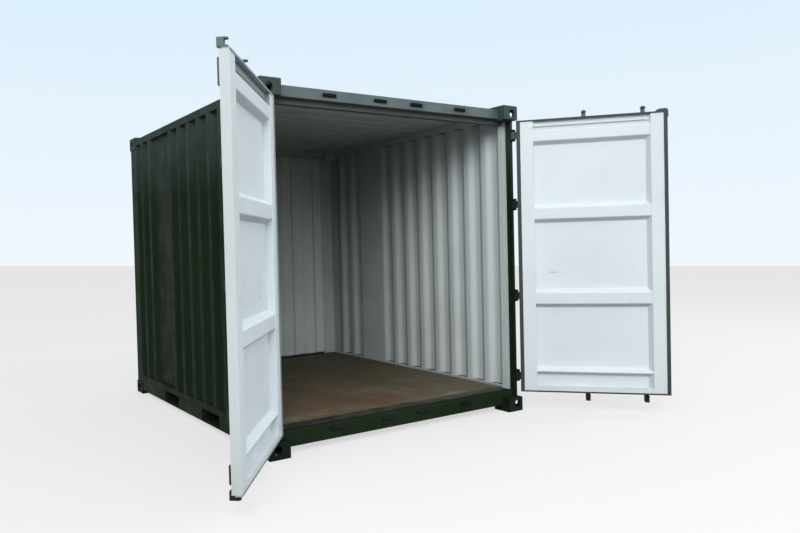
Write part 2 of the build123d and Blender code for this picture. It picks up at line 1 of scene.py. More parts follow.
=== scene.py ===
# %% [markdown]
# # A ten foot shipping container in Blender
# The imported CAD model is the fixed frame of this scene: it carries the castings, posts, rails,
# sheets, doors, locking rods and handles at their true places. Here each of them gets its finish,
# and the small things that a welder and a painter leave behind are modelled on top.

# %% Load the frame
import bmesh
import bpy
import math
from mathutils import Matrix, Vector


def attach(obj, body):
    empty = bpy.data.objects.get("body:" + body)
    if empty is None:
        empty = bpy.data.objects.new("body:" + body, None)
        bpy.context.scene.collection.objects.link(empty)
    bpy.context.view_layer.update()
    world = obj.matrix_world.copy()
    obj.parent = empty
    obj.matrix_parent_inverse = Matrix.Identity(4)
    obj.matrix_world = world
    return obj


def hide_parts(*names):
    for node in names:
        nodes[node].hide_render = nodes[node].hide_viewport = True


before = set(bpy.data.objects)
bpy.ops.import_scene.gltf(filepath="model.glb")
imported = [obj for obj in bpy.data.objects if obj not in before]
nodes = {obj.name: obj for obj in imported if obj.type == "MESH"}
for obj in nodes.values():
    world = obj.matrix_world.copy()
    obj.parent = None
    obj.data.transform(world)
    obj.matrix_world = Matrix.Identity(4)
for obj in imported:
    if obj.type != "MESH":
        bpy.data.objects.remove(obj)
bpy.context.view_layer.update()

# %% [markdown]
# ## The camera
# The photograph was taken at about eye height, a few metres from the open doors. A camera has a
# place, a heading and a lens. They were worked out from the corners of the castings, because these
# have standard sizes. The picture was cropped off centre, so the lens is shifted too.

# %% Camera
IMAGE_W, IMAGE_H = 800, 533
FOCAL_PX, CENTRE_U, CENTRE_V = 697.62, 327.90, 263.48
CAM_PLACE = Vector((5.67021, -3.32946, 1.43599))
PITCH, HEADING, ROLL = -0.0230484, -0.558538, -0.0256706
SENSOR_MM, FAR_CLIP = 36.0, 500.0


def camera_axes():
    level = math.cos(PITCH)
    ahead = Vector((-math.cos(HEADING) * level, -math.sin(HEADING) * level, math.sin(PITCH)))
    right = Vector((-math.sin(HEADING), math.cos(HEADING), 0.0))
    up = right.cross(ahead)
    c, s = math.cos(ROLL), math.sin(ROLL)
    return right * c + up * s, up * c - right * s, ahead


cam_right, cam_up, cam_ahead = camera_axes()
lens = bpy.data.cameras.new("photo_lens")
lens.sensor_width = SENSOR_MM
lens.lens = FOCAL_PX / IMAGE_W * SENSOR_MM
lens.shift_x = (IMAGE_W / 2 - CENTRE_U) / IMAGE_W
lens.shift_y = (CENTRE_V - IMAGE_H / 2) / IMAGE_W
lens.clip_end = FAR_CLIP
camera = bpy.data.objects.new("photo_camera", lens)
turn = Matrix((cam_right, cam_up, -cam_ahead)).transposed().to_4x4()
camera.matrix_world = Matrix.Translation(CAM_PLACE) @ turn
bpy.context.scene.collection.objects.link(camera)
bpy.context.scene.camera = camera
print("lens", round(lens.lens, 2), "mm")

# %% [markdown]
# ## Light
# An overcast sky lights the whole object softly, so the world gives most of the light. It is
# brighter overhead than near the horizon, as a real overcast sky over open ground with things
# around it is, so the roof shades the hold and the ceiling stays dark. The sky that the camera sees
# is a pale blue of its own, and a Light Path node tells the two apart.

# %% Node helpers


def add(tree, kind, **values):
    node = tree.nodes.new(kind)
    for name, value in values.items():
        setattr(node, name, value)
    return node


def maths(tree, operation, *values):
    # each value is a plain number or the output of another node
    node = add(tree, "ShaderNodeMath", operation=operation)
    for socket, value in zip(node.inputs, values):
        if isinstance(value, float):
            socket.default_value = value
        else:
            tree.links.new(value, socket)
    return node.outputs[0]


def ramp(tree, value, span, low, high):
    node = add(tree, "ShaderNodeValToRGB")
    for element, position, tone in zip(node.color_ramp.elements, span, (low, high)):
        element.position = position
        element.color = (*tone, 1.0)
    tree.links.new(value, node.inputs["Fac"])
    return node.outputs["Color"]


def is_looked_at(tree):
    # 1 for what the camera sees, straight or in gloss or glass, and 0 for what lights the object
    rays = add(tree, "ShaderNodeLightPath").outputs
    straight_or_gloss = maths(tree, "MAXIMUM", rays["Is Camera Ray"], rays["Is Glossy Ray"])
    return maths(tree, "MAXIMUM", straight_or_gloss, rays["Is Transmission Ray"])


# %% Sky
SKY_LOW, SKY_HIGH, SKY_SPAN = (0.87, 0.93, 0.99), (0.70, 0.86, 0.98), (0.0, 0.36)
LIGHT_LOW, LIGHT_HIGH, LIGHT_SPAN = (0.26, 0.27, 0.27), (0.74, 0.77, 0.78), (0.06, 0.42)
WORLD_LIGHT = 1.0

world = bpy.data.worlds.new("overcast")
bpy.context.scene.world = world
world.use_nodes = True
sky = world.node_tree
sky.nodes.clear()
sky_out = add(sky, "ShaderNodeOutputWorld")
sky_mix = add(sky, "ShaderNodeMixShader")
sky_seen = add(sky, "ShaderNodeBackground")
sky_lit = add(sky, "ShaderNodeBackground")
sky_lit.inputs["Strength"].default_value = WORLD_LIGHT
sky_place = add(sky, "ShaderNodeTexCoord")
sky_split = add(sky, "ShaderNodeSeparateXYZ")
sky.links.new(sky_place.outputs["Generated"], sky_split.inputs["Vector"])
height = sky_split.outputs["Z"]
sky.links.new(ramp(sky, height, SKY_SPAN, SKY_LOW, SKY_HIGH), sky_seen.inputs["Color"])
sky.links.new(ramp(sky, height, LIGHT_SPAN, LIGHT_LOW, LIGHT_HIGH), sky_lit.inputs["Color"])
sky.links.new(is_looked_at(sky), sky_mix.inputs["Fac"])
sky.links.new(sky_lit.outputs[0], sky_mix.inputs[1])
sky.links.new(sky_seen.outputs[0], sky_mix.inputs[2])
sky.links.new(sky_mix.outputs[0], sky_out.inputs["Surface"])
print("sky with", len(sky.nodes), "nodes")

# %% [markdown]
# ### Lamps
# Three large soft lamps stand in for the brighter parts of the sky: one behind the viewer lights
# the right door, one straight in front of the doors reaches the rear wall, and one to the right
# lights the left door. Large discs far away give light with hardly any edge to its shadows.

# %% Lamps


def soft_lamp(name, place, target, size, power, tone):
    data = bpy.data.lights.new(name, "AREA")
    data.shape = "DISK"
    data.size = size
    data.energy = power
    data.color = tone
    lamp = bpy.data.objects.new(name, data)
    aim = Vector(target) - Vector(place)
    lamp.matrix_world = Matrix.Translation(place) @ aim.to_track_quat("-Z", "Y").to_matrix().to_4x4()
    bpy.context.scene.collection.objects.link(lamp)


soft_lamp("bright_cloud", place=(9.0, -6.6, 7.0), target=(1.5, 0.6, 1.2), size=7.0, power=900.0,
          tone=(1.0, 0.995, 0.985))
soft_lamp("front_sky", place=(10.0, -2.0, 5.0), target=(-1.0, 0.4, 1.2), size=7.0, power=245.0,
          tone=(0.97, 0.99, 1.0))
soft_lamp("open_sky", place=(7.0, 9.5, 6.0), target=(1.6, -0.6, 1.2), size=8.0, power=560.0,
          tone=(0.95, 0.98, 1.0))
bpy.context.scene.view_settings.view_transform = "Standard"
print("three lamps and a soft sky")

# %% [markdown]
# ## The ground
# The object stands on a plain pale floor. It is a wide thin disc whose far edge gives the horizon.
# It isn't part of the object. The picture's ground is almost evenly pale, so most of what the
# camera sees is a plain glow, and the rest is a matt floor that keeps a soft shadow. Light that
# bounces meets a much darker floor, because the hold's ceiling is dark.

# %% Floor shape
FLOOR_RADIUS, FLOOR_SIDES = 120.0, 96
HORIZON_V = 266.0


def mesh_object(name, bm):
    mesh = bpy.data.meshes.new(name)
    bm.normal_update()
    bm.to_mesh(mesh)
    bm.free()
    obj = bpy.data.objects.new(name, mesh)
    bpy.context.scene.collection.objects.link(obj)
    return obj


def cut(bm, point, way, clear=False):
    # cuts all faces with a plane, and clear takes away what lies behind it
    bmesh.ops.bisect_plane(bm, geom=bm.faces[:] + bm.edges[:] + bm.verts[:], plane_co=point,
                           plane_no=way, clear_inner=clear)


def ground_point(u, v):
    # where the line of sight through a picture point meets the ground
    across, down = (u - CENTRE_U) / FOCAL_PX, (v - CENTRE_V) / FOCAL_PX
    ray = cam_ahead + cam_right * across - cam_up * down
    return CAM_PLACE - ray * (CAM_PLACE.z / ray.z)


bm = bmesh.new()
bmesh.ops.create_circle(bm, cap_ends=True, radius=FLOOR_RADIUS, segments=FLOOR_SIDES)
left_end, right_end = ground_point(0.0, HORIZON_V), ground_point(IMAGE_W, HORIZON_V)
edge_way = (right_end - left_end).normalized()
cut(bm, left_end, edge_way.cross(Vector((0, 0, 1))), clear=True)
ground = mesh_object("ground", bm)
print("ground from", [round(x, 1) for x in left_end], "to", [round(x, 1) for x in right_end])

# %% Floor material
FLOOR_GLOW, FLOOR_SEEN, FLOOR_BOUNCE = (0.875, 0.875, 0.875), (0.80, 0.795, 0.79), (0.11, 0.112, 0.10)
GLOW_SHARE = 0.70

ground_paint = bpy.data.materials.new("pale_ground")
ground_paint.use_nodes = True
tree = ground_paint.node_tree
tree.nodes.clear()
seen = add(tree, "ShaderNodeBsdfDiffuse")
seen.inputs["Color"].default_value = (*FLOOR_SEEN, 1.0)
glow = add(tree, "ShaderNodeEmission")
glow.inputs["Color"].default_value = (*FLOOR_GLOW, 1.0)
pale = add(tree, "ShaderNodeMixShader")
pale.inputs["Fac"].default_value = GLOW_SHARE
tree.links.new(seen.outputs[0], pale.inputs[1])
tree.links.new(glow.outputs[0], pale.inputs[2])
bounce = add(tree, "ShaderNodeBsdfDiffuse")
bounce.inputs["Color"].default_value = (*FLOOR_BOUNCE, 1.0)
ground_mix = add(tree, "ShaderNodeMixShader")
tree.links.new(is_looked_at(tree), ground_mix.inputs["Fac"])
tree.links.new(bounce.outputs[0], ground_mix.inputs[1])
tree.links.new(pale.outputs[0], ground_mix.inputs[2])
tree.links.new(ground_mix.outputs[0], add(tree, "ShaderNodeOutputMaterial").inputs["Surface"])
ground.data.materials.append(ground_paint)
print(ground_paint.name)

# %% [markdown]
# ## Paint effects that several finishes share
# Dust, streaks and chips turn up on every painted piece, so each is a node group that is built
# once. They could be brushed into an image, but a noise that a threshold turns into a mask stays
# sharp from near by. All of them read the piece's own object coordinates, which move with it.

# %% Node group helpers


def group(name, dial, value, results):
    # an effect takes a place on the piece and one dial, and gives one mask for each result
    tree = bpy.data.node_groups.new(name, "ShaderNodeTree")
    tree.interface.new_socket(name="Vector", in_out="INPUT", socket_type="NodeSocketVector")
    made = tree.interface.new_socket(name=dial, in_out="INPUT", socket_type="NodeSocketFloat")
    made.default_value = value
    for result in results:
        tree.interface.new_socket(name=result, in_out="OUTPUT", socket_type="NodeSocketFloat")
    start = add(tree, "NodeGroupInput")
    end = add(tree, "NodeGroupOutput")
    return tree, start.outputs["Vector"], start.outputs[dial], end.inputs


def noise(tree, vector, scale, detail, roughness):
    node = add(tree, "ShaderNodeTexNoise")
    node.inputs["Scale"].default_value = scale
    node.inputs["Detail"].default_value = detail
    node.inputs["Roughness"].default_value = roughness
    tree.links.new(vector, node.inputs["Vector"])
    return node.outputs["Fac"]


def stretch(tree, vector, scale=(1.0, 1.0, 1.0), shift=(0.0, 0.0, 0.0)):
    node = add(tree, "ShaderNodeMapping")
    node.inputs["Scale"].default_value = scale
    node.inputs["Location"].default_value = shift
    tree.links.new(vector, node.inputs["Vector"])
    return node.outputs["Vector"]


def split(tree, vector):
    node = add(tree, "ShaderNodeSeparateXYZ")
    tree.links.new(vector, node.inputs["Vector"])
    return node.outputs


def mask(tree, value, low, high, to_low=0.0, to_high=1.0):
    # goes smoothly from to_low, where the value is low, to to_high, where it is high
    node = add(tree, "ShaderNodeMapRange", interpolation_type="SMOOTHSTEP")
    tree.links.new(value, node.inputs["Value"])
    for name, number in (("From Min", low), ("From Max", high), ("To Min", to_low), ("To Max", to_high)):
        node.inputs[name].default_value = number
    return node.outputs["Result"]


def multiply(tree, product, *others):
    for other in others:
        product = maths(tree, "MULTIPLY", product, other)
    return product


# %% Streaks and chips
# a run is a noise drawn out along z, and the shift keeps chips from following the clouds' pattern
RUN_STRETCH, CHIP_SHIFT = (9.0, 9.0, 0.55), (3.1, 7.7, 1.9)
streaks, place, amount, result = group("runs_and_chips", "Amount", 0.5, ("Runs", "Chips", "Cloud"))
long_runs = noise(streaks, stretch(streaks, place, RUN_STRETCH), scale=3.0, detail=4.0, roughness=0.6)
patches = noise(streaks, place, scale=1.3, detail=2.0, roughness=0.5)
runs = multiply(streaks, mask(streaks, long_runs, 0.56, 0.78), mask(streaks, patches, 0.48, 0.70))
specks = noise(streaks, place, scale=42.0, detail=3.0, roughness=0.6)
spots = noise(streaks, stretch(streaks, place, shift=CHIP_SHIFT), scale=2.6, detail=3.0, roughness=0.6)
chips = multiply(streaks, mask(streaks, specks, 0.66, 0.70), mask(streaks, spots, 0.55, 0.66))
streaks.links.new(multiply(streaks, runs, amount), result["Runs"])
streaks.links.new(multiply(streaks, chips, amount), result["Chips"])
streaks.links.new(patches, result["Cloud"])
print("group", streaks.name)

# %% Dust that settles low and in patches
dusting, place, reach, result = group("settled_dust", "Reach", 0.6, ("Dust",))
share_of_reach = maths(dusting, "DIVIDE", split(dusting, place)["Z"], reach)
low_down = mask(dusting, share_of_reach, 0.0, 1.0, to_low=1.0, to_high=0.0)
drift = noise(dusting, place, scale=7.0, detail=5.0, roughness=0.65)
dusting.links.new(multiply(dusting, low_down, mask(dusting, drift, 0.3, 0.75)), result["Dust"])
print("group", dusting.name)

# %% Painted sky reflection that lightens the paint high up
# a lighter tone that grows towards the top paints the sky's reflection on the paint
SHEEN_STARTS_Z, SHEEN_FULL_Z = 1.80, 2.50
sky_sheen_group, place, amount, result = group("painted_sky_sheen_high_up", "Amount", 0.5, ("Sky_Sheen",))
high_up = mask(sky_sheen_group, split(sky_sheen_group, place)["Z"], SHEEN_STARTS_Z, SHEEN_FULL_Z)
sheen_noise = noise(sky_sheen_group, place, scale=4.0, detail=4.0, roughness=0.6)
uneven = mask(sky_sheen_group, sheen_noise, 0.2, 0.6, to_low=0.6)
sky_sheen_group.links.new(multiply(sky_sheen_group, high_up, uneven, amount), result["Sky_Sheen"])
print("group", sky_sheen_group.name)

# %% Scuffs at the height of a load
SCUFFS_BEGIN_Z, SCUFFS_END_Z, SCUFF_STRETCH = (1.08, 1.13), (1.22, 1.27), (1.6, 1.6, 9.0)
scuffing, place, amount, result = group("load_scuffs", "Amount", 0.5, ("Scuffs",))
height = split(scuffing, place)["Z"]
above = mask(scuffing, height, *SCUFFS_BEGIN_Z)
below = mask(scuffing, height, *SCUFFS_END_Z, to_low=1.0, to_high=0.0)
rubbed = noise(scuffing, stretch(scuffing, place, SCUFF_STRETCH), scale=5.2, detail=1.5, roughness=0.5)
marks = mask(scuffing, rubbed, 0.62, 0.76)
band = multiply(scuffing, above, below)
scuffing.links.new(multiply(scuffing, marks, band, amount), result["Scuffs"])
print("group", scuffing.name)

# %% Painted shade that deepens towards the back of the hold
# a darker tone deeper in the hold paints the shade that falls there, away from the open doors
BACK_SHADE_FULL_X, BACK_SHADE_ENDS_X = -1.0, 1.3
back_shading, place, amount, result = group("painted_shade_at_the_back", "Amount", 0.5, ("Back_Shade",))
along = split(back_shading, place)["X"]
inwards = mask(back_shading, along, BACK_SHADE_FULL_X, BACK_SHADE_ENDS_X, to_low=1.0, to_high=0.0)
patchy = noise(back_shading, place, scale=2.4, detail=4.0, roughness=0.6)
uneven = mask(back_shading, patchy, 0.2, 0.7, to_low=0.75)
back_shading.links.new(multiply(back_shading, inwards, uneven, amount), result["Back_Shade"])
print("group", back_shading.name)

# %% Brown run down the flat part of the left wall
# strongest along its middle, it starts about 2 m up and is washed paler below about 1.3 m
RUN_EDGES, RUN_TOP_Z, RUN_WASHED_Z = (0.03, 0.17), (1.80, 2.12), (1.10, 1.50)
RUN_GRAIN = (16.0, 16.0, 0.7)
brown_run, place, middle, result = group("brown_run", "Middle", 0.0, ("Run",))
across_up = split(brown_run, place)
distance = maths(brown_run, "ABSOLUTE", maths(brown_run, "SUBTRACT", across_up["X"], middle))
streaky = noise(brown_run, stretch(brown_run, place, RUN_GRAIN), scale=2.0, detail=3.0, roughness=0.6)
narrow = mask(brown_run, distance, *RUN_EDGES, to_low=1.0, to_high=0.0)
lower = mask(brown_run, across_up["Z"], *RUN_TOP_Z, to_low=1.0, to_high=0.0)
washed = mask(brown_run, across_up["Z"], *RUN_WASHED_Z, to_low=0.35)
streaked = mask(brown_run, streaky, 0.30, 0.62)
run = multiply(brown_run, narrow, multiply(brown_run, lower, washed), streaked)
brown_run.links.new(run, result["Run"])
print("group", brown_run.name)

# %% [markdown]
# ## Painted steel
# The outside is a dark bottle green and the inside a slightly cool off-white. Both are the same
# recipe with other values: a base tone that clouds a little, dust near the bottom, thin rust runs,
# small chips, and a faint orange peel in the bump. Dust also dulls what faces upwards, so a rail's
# top doesn't mirror the sky.

# %% Material helpers


def new_material(name):
    material = bpy.data.materials.new(name)
    material.use_nodes = True
    tree = material.node_tree
    place = add(tree, "ShaderNodeTexCoord").outputs["Object"]
    return material, tree, tree.nodes["Principled BSDF"], place


def use(tree, effect, place, **dials):
    node = add(tree, "ShaderNodeGroup", node_tree=effect)
    for name, value in dials.items():
        node.inputs[name].default_value = value
    tree.links.new(place, node.inputs["Vector"])
    return node.outputs


def mix_colour(tree, share, under, over):
    node = add(tree, "ShaderNodeMix", data_type="RGBA")
    tree.links.new(share, node.inputs["Factor"])
    for socket, value in ((node.inputs[6], under), (node.inputs[7], over)):
        if isinstance(value, tuple):
            socket.default_value = (*value, 1.0)
        else:
            tree.links.new(value, socket)
    return node.outputs[2]


def raise_grain(tree, look, height, strength, depth):
    bump = add(tree, "ShaderNodeBump")
    bump.inputs["Strength"].default_value = strength
    bump.inputs["Distance"].default_value = depth
    tree.links.new(height, bump.inputs["Height"])
    tree.links.new(bump.outputs["Normal"], look.inputs["Normal"])


# %% Painted steel recipe
# SKY_SHEEN_TONE is the colour of a painted reflection of the sky
RUST, SKY_SHEEN_TONE, SCUFF = (0.060, 0.032, 0.018), (0.135, 0.172, 0.182), (0.30, 0.34, 0.38)
# BACK_SHADE_TONE is the colour of painted shade deep in the hold
BROWN, BROWN_SHARE, BACK_SHADE_TONE = (0.028, 0.022, 0.004), 0.75, (0.290, 0.325, 0.305)
SHEEN_SPREAD, TOP_DULLNESS = 0.22, 0.95
FACING_UP = (0.80, 0.97)
PEEL_SCALE, PEEL_STRENGTH, PEEL_DEPTH = 240.0, 0.12, 0.0006


def painted_steel(name, tone, cloud, dust, dust_reach, dust_amount, wear, gloss, shine, sky_sheen=0.0,
                  scuffs=0.0, run_at=None, back_shade=0.0):
    paint, tree, look, place = new_material(name)
    marks = use(tree, streaks, place, Amount=wear)
    settled = use(tree, dusting, place, Reach=dust_reach)["Dust"]
    base = mix_colour(tree, mask(tree, marks["Cloud"], 0.35, 0.7), tone, cloud)
    base = mix_colour(tree, multiply(tree, settled, dust_amount), base, dust)
    # a lighter tone high up paints a reflection of the sky
    if sky_sheen:
        base = mix_colour(tree, use(tree, sky_sheen_group, place, Amount=sky_sheen)["Sky_Sheen"], base, SKY_SHEEN_TONE)
    # a darker tone towards the back paints the shade deep in the hold
    if back_shade:
        base = mix_colour(tree, use(tree, back_shading, place, Amount=back_shade)["Back_Shade"], base, BACK_SHADE_TONE)
    if run_at is not None:
        run = use(tree, brown_run, place, Middle=run_at)["Run"]
        base = mix_colour(tree, multiply(tree, run, BROWN_SHARE), base, BROWN)
    if scuffs:
        base = mix_colour(tree, use(tree, scuffing, place, Amount=scuffs)["Scuffs"], base, SCUFF)
    base = mix_colour(tree, marks["Runs"], base, RUST)
    base = mix_colour(tree, marks["Chips"], base, RUST)
    tree.links.new(base, look.inputs["Base Color"])
    look.inputs["Specular IOR Level"].default_value = shine
    sheen = noise(tree, place, scale=5.0, detail=4.0, roughness=0.6)
    uneven = mask(tree, sheen, 0.3, 0.7, gloss, gloss + SHEEN_SPREAD)
    # dust that lies on faces turned upwards dulls them
    facing = split(tree, add(tree, "ShaderNodeNewGeometry").outputs["Normal"])
    dusty = mask(tree, facing["Z"], *FACING_UP, to_high=TOP_DULLNESS)
    tree.links.new(maths(tree, "MAXIMUM", uneven, dusty), look.inputs["Roughness"])
    peel = noise(tree, place, scale=PEEL_SCALE, detail=2.0, roughness=0.5)
    raise_grain(tree, look, peel, PEEL_STRENGTH, PEEL_DEPTH)
    return paint


# %% Green paints
BOTTLE_GREEN, CLOUDED_GREEN = (0.0070, 0.0160, 0.0068), (0.0100, 0.0200, 0.0095)
BROWN_RUN_X = -0.52
# green paints with a sky sheen take a painted reflection of the sky high up
green = painted_steel(
    "green_outside", BOTTLE_GREEN, CLOUDED_GREEN, dust=(0.036, 0.031, 0.020), dust_reach=0.5,
    dust_amount=0.22, wear=0.45, gloss=0.50, shine=0.05, sky_sheen=0.22)
wall_green = painted_steel(
    "green_left_wall", BOTTLE_GREEN, CLOUDED_GREEN, dust=(0.038, 0.034, 0.022), dust_reach=0.5,
    dust_amount=0.22, wear=0.45, gloss=0.50, shine=0.05, sky_sheen=0.22, run_at=BROWN_RUN_X)
# the header has the same green paint as the rest: its bluer tone, higher shine and large sky sheen paint
# a reflection of the sky on its face
sky_lit_header_green = painted_steel(
    "green_header_sky_lit", (0.0070, 0.0120, 0.0100), (0.0090, 0.0150, 0.0120), dust=(0.034, 0.040, 0.030),
    dust_reach=0.5, dust_amount=0.25, wear=0.5, gloss=0.45, shine=0.25, sky_sheen=0.60)
# the castings' green is darker than the walls', which paints shade on the bottom castings, and their sky
# sheen paints a reflection of the sky on the top ones
cast_green = painted_steel(
    "green_castings", (0.0060, 0.0125, 0.0068), (0.0090, 0.0165, 0.0100), dust=(0.034, 0.036, 0.026),
    dust_reach=0.35, dust_amount=0.05, wear=0.7, gloss=0.50, shine=0.05, sky_sheen=0.32)
black_steel = painted_steel(
    "dark_hardware", (0.0050, 0.0100, 0.0078), (0.0090, 0.0150, 0.0115), dust=(0.040, 0.042, 0.034),
    dust_reach=0.5, dust_amount=0.22, wear=0.8, gloss=0.58, shine=0.05)
gear_steel = painted_steel(
    "worn_door_gear", (0.0060, 0.0110, 0.0088), (0.0110, 0.0170, 0.0140), dust=(0.040, 0.042, 0.034),
    dust_reach=0.5, dust_amount=0.22, wear=0.9, gloss=0.42, shine=0.20, sky_sheen=0.75)
print("six green paints")

# %% White and grey paints
HOLD_WHITE, CLOUDED_HOLD, HOLD_DUST = (0.53, 0.578, 0.592), (0.48, 0.527, 0.535), (0.24, 0.235, 0.20)
white = painted_steel(
    "white_doors", (0.66, 0.715, 0.755), (0.62, 0.675, 0.715), dust=(0.30, 0.285, 0.245),
    dust_reach=0.42, dust_amount=0.25, wear=0.25, gloss=0.55, shine=0.25, scuffs=0.55)
# a darker white that paints the shade on the left leaf's free end
shaded_end_white = painted_steel(
    "door_end_white_painted_shade", (0.515, 0.560, 0.580), (0.470, 0.520, 0.530), dust=(0.26, 0.25, 0.20),
    dust_reach=0.60, dust_amount=0.35, wear=0.45, gloss=0.60, shine=0.15)
# hold_white and rear_white darken towards the back with painted shade
hold_white = painted_steel(
    "white_hold", HOLD_WHITE, CLOUDED_HOLD, HOLD_DUST, dust_reach=0.42, dust_amount=0.30, wear=0.30,
    gloss=0.55, shine=0.20, scuffs=0.30, back_shade=0.9)
rear_white = painted_steel(
    "white_rear_wall", HOLD_WHITE, CLOUDED_HOLD, HOLD_DUST, dust_reach=0.42, dust_amount=0.20,
    wear=0.30, gloss=0.55, shine=0.20, scuffs=0.30, back_shade=0.35)
# a dark grey that paints the shade on the white land under the header
land_painted_shade = painted_steel(
    "header_land_shade_paint", (0.070, 0.077, 0.073), (0.085, 0.092, 0.087), dust=(0.06, 0.062, 0.05),
    dust_reach=0.30, dust_amount=0.20, wear=0.30, gloss=0.60, shine=0.10)
# this grey paints the shade in the left leaf's top recess and at the floor sealant, and on the left seal
# it is paint sprayed over the rubber that also paints its shade
overspray_and_shade = painted_steel(
    "sprayed_grey_and_painted_shade", (0.24, 0.275, 0.28), (0.30, 0.335, 0.34), dust=(0.20, 0.20, 0.17),
    dust_reach=0.30, dust_amount=0.20, wear=0.30, gloss=0.60, shine=0.20)
print("six white and grey paints")

# %% [markdown]
# ## Rubber, boards and bare steel
# The door seals are black rubber, the floor is worn plywood board, and the threshold is a steel
# strip that feet and loads have scuffed. Each is mixed from the same noises and masks as the paint.

# %% Rubber
RUBBER_BLACK, RUBBER_BLOOM = (0.010, 0.014, 0.015), (0.022, 0.028, 0.030)
rubber, tree, look, place = new_material("seal_rubber")
bloom = mask(tree, noise(tree, place, scale=14.0, detail=4.0, roughness=0.6), 0.45, 0.75)
tree.links.new(mix_colour(tree, bloom, RUBBER_BLACK, RUBBER_BLOOM), look.inputs["Base Color"])
look.inputs["Roughness"].default_value = 0.62
print(rubber.name)

# %% Floor boards
BOARD_DARK, BOARD_PALE, BOARD_WORN = (0.084, 0.064, 0.036), (0.158, 0.124, 0.078), (0.200, 0.180, 0.138)
BOARD_STAIN, BOARD_SHADE_TONE, BACK_SHADE_ON_BOARDS = (0.115, 0.062, 0.034), (0.040, 0.038, 0.022), 0.75
GRAIN_STRETCH, WEAR_STRETCH, WEAR_SHIFT = (1.2, 26.0, 1.0), (2.6, 1.1, 1.0), (1.3, 4.1, 0.0)
board, tree, look, place = new_material("floor_plywood")
grain = noise(tree, stretch(tree, place, GRAIN_STRETCH), scale=3.2, detail=6.0, roughness=0.62)
worn_place = stretch(tree, place, WEAR_STRETCH, WEAR_SHIFT)
worn = noise(tree, worn_place, scale=2.2, detail=5.0, roughness=0.65)
stain = noise(tree, place, scale=1.6, detail=3.0, roughness=0.55)
base = mix_colour(tree, mask(tree, grain, 0.34, 0.68), BOARD_DARK, BOARD_PALE)
base = mix_colour(tree, mask(tree, worn, 0.50, 0.72, to_high=0.75), base, BOARD_WORN)
base = mix_colour(tree, mask(tree, stain, 0.50, 0.70, to_high=0.6), base, BOARD_STAIN)
# the boards darken towards the back with painted shade
base = mix_colour(tree, use(tree, back_shading, place, Amount=BACK_SHADE_ON_BOARDS)["Back_Shade"], base, BOARD_SHADE_TONE)
tree.links.new(base, look.inputs["Base Color"])
tree.links.new(mask(tree, worn, 0.35, 0.7, to_low=0.5, to_high=0.8), look.inputs["Roughness"])
look.inputs["Specular IOR Level"].default_value = 0.15
raise_grain(tree, look, grain, strength=0.35, depth=0.0015)
print(board.name)

# %% Bare steel
STEEL_DARK, STEEL_PALE, STEEL_BROWN = (0.034, 0.037, 0.030), (0.066, 0.069, 0.058), (0.055, 0.040, 0.026)
RUB_STRETCH, RUB_SPAN, RUST_SPAN = (6.0, 1.0, 1.0), (0.4, 0.65), (0.48, 0.62)
bare, tree, look, place = new_material("scuffed_steel")
rub = noise(tree, stretch(tree, place, RUB_STRETCH), scale=6.0, detail=5.0, roughness=0.6)
brown = noise(tree, place, scale=5.0, detail=5.0, roughness=0.65)
base = mix_colour(tree, mask(tree, rub, *RUB_SPAN), STEEL_DARK, STEEL_PALE)
base = mix_colour(tree, mask(tree, brown, *RUST_SPAN, to_high=0.8), base, STEEL_BROWN)
tree.links.new(base, look.inputs["Base Color"])
tree.links.new(mask(tree, brown, *RUST_SPAN, to_low=0.75, to_high=0.1), look.inputs["Metallic"])
tree.links.new(mask(tree, rub, *RUB_SPAN, to_low=0.62, to_high=0.4), look.inputs["Roughness"])
print(bare.name)

# %% [markdown]
# ## Two paints on one sheet
# The walls, roof and doors are steel sheet that is green on one side and white on the other. A
# material can't tell the two sides of a thin sheet apart by place, so each sheet is copied from
# the CAD node and its faces are sorted by the way they point: faces that look into the hold, or
# out of the inner side of a door, take the white slot. A press also leaves no sharp bend, so the
# edges between two slopes of a copy get a small rounding, which catches the light as a soft line.

# %% Copies with two paints
HALF_W, HALF_L = 1.219, 1.4955
SHALLOWEST_BEND, SHARPEST_BEND = math.radians(15), math.radians(78)
SAME_PLACE, SAME_PLANE = 1e-6, math.radians(0.5)
# the least part of a face's normal that counts as looking some way
LOOKS_THAT_WAY = 1e-4


def merged_copy(node):
    bm = bmesh.new()
    bm.from_mesh(nodes[node].data)
    bmesh.ops.remove_doubles(bm, verts=bm.verts, dist=SAME_PLACE)
    bmesh.ops.dissolve_limit(bm, angle_limit=SAME_PLANE, verts=bm.verts, edges=bm.edges)
    bm.normal_update()
    return bm


def round_bends(bm, offset, segments):
    folds = [edge for edge in bm.edges if len(edge.link_faces) == 2]
    bends = [edge for edge in folds if SHALLOWEST_BEND < edge.calc_face_angle() < SHARPEST_BEND]
    bmesh.ops.bevel(bm, geom=bends, offset=offset, affect="EDGES", segments=segments, profile=0.5,
                    material=-1)
    bm.normal_update()


def painted_copy(bm, node, name, paints, pick):
    for face in bm.faces:
        face.material_index = pick(face)
        face.smooth = False
    obj = mesh_object(name, bm)
    for paint in paints:
        obj.data.materials.append(paint)
    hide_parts(node)
    return obj


def towards(x, y, z):
    aim = Vector((x, y, z))
    return lambda face: 1 if face.normal.dot(aim) > LOOKS_THAT_WAY else 0


# %% Where the side sheets meet the top rails
# the top rails' lower corners are rounded, and the sheet's outer ridges run up into that rounding
NEAR = 0.001
CORNER_ROUND = 0.006
TOP_RAIL_FACE = max(v.co.y for v in nodes["right_top_rail"].data.vertices)
TOP_RAIL_UNDER = min(v.co.z for v in nodes["right_top_rail"].data.vertices)


